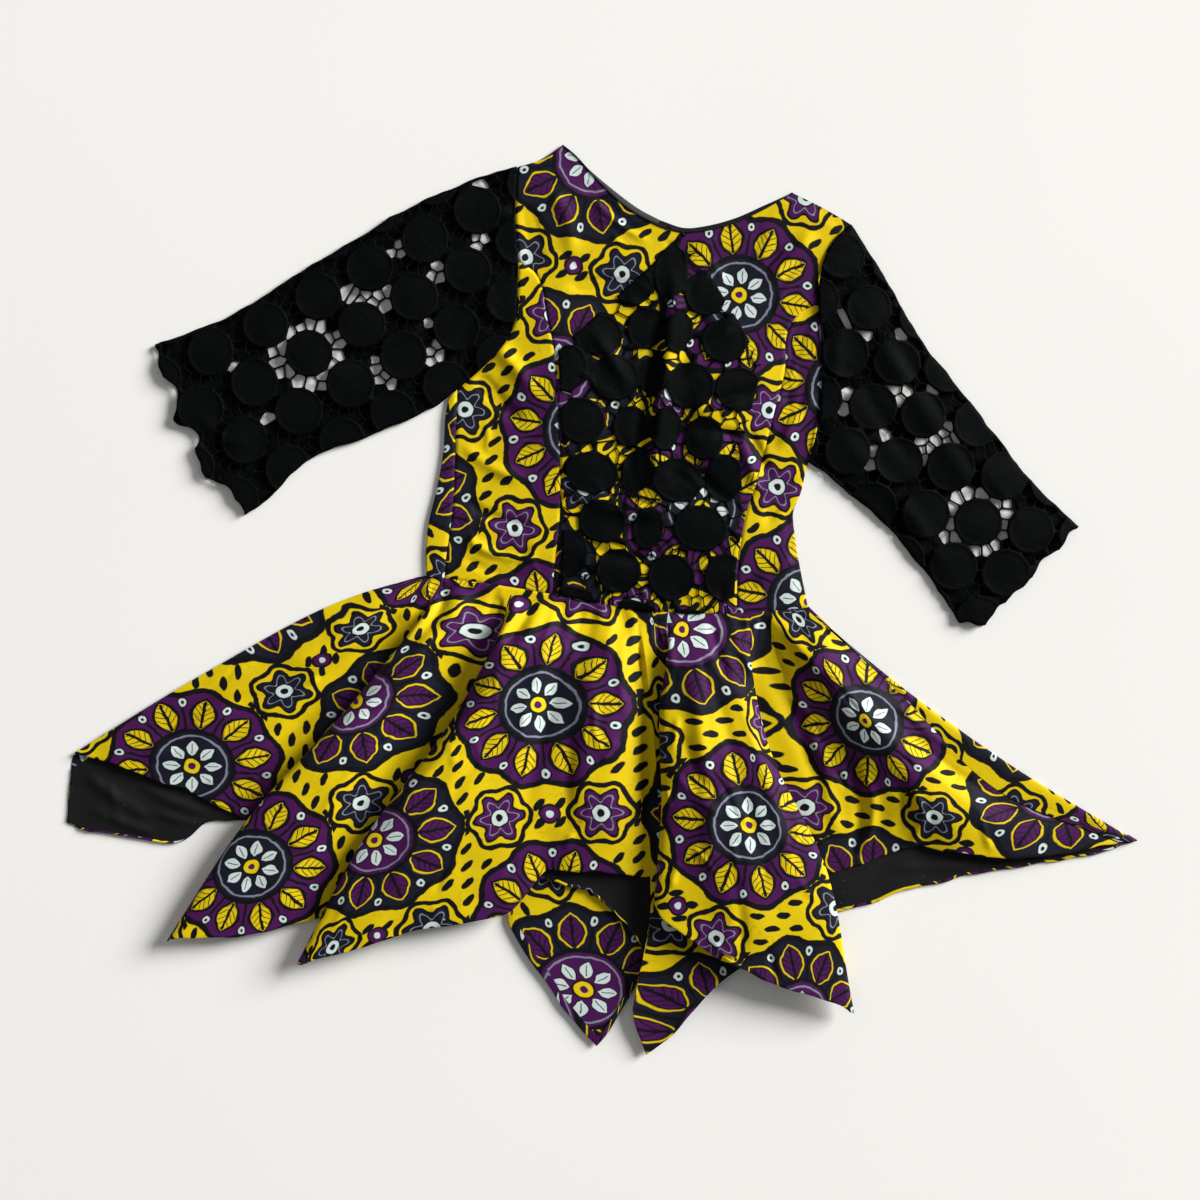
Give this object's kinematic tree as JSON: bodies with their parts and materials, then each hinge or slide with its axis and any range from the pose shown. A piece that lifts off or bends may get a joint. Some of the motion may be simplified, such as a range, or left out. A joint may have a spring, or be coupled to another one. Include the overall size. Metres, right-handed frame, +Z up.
{
  "type": "dress",
  "caption": "Short wax print dress with lace sleeves and a flared pointed hem, laid flat on its back.",
  "frame": {"origin": "centre of the bounding box at its base, on the surface the dress lies on", "axes": "+Z up from the surface, +Y from hem to neck, +X to the right of the dress as seen from above"},
  "size_m": [1.0602, 0.881, 0.0403],
  "materials": {
    "wax_print_cotton": "matte printed cotton",
    "guipure_lace": "matte corded lace",
    "black_facing": "matte plain weave",
    "bias_binding": "matte plain weave"
  },
  "bodies": {
    "root": {"bodice_back": "wax_print_cotton", "bodice_front_centre": "wax_print_cotton", "bodice_front_side_left": "wax_print_cotton", "bodice_front_side_right": "wax_print_cotton", "skirt_front": "wax_print_cotton", "skirt_back": "wax_print_cotton", "lace_overlay": "guipure_lace", "sleeve_left": "guipure_lace", "sleeve_right": "guipure_lace", "hem_facing_left": "black_facing", "hem_facing_centre": "black_facing", "hem_facing_right": "black_facing", "neck_binding": "bias_binding"}
  },
  "joints": []
}
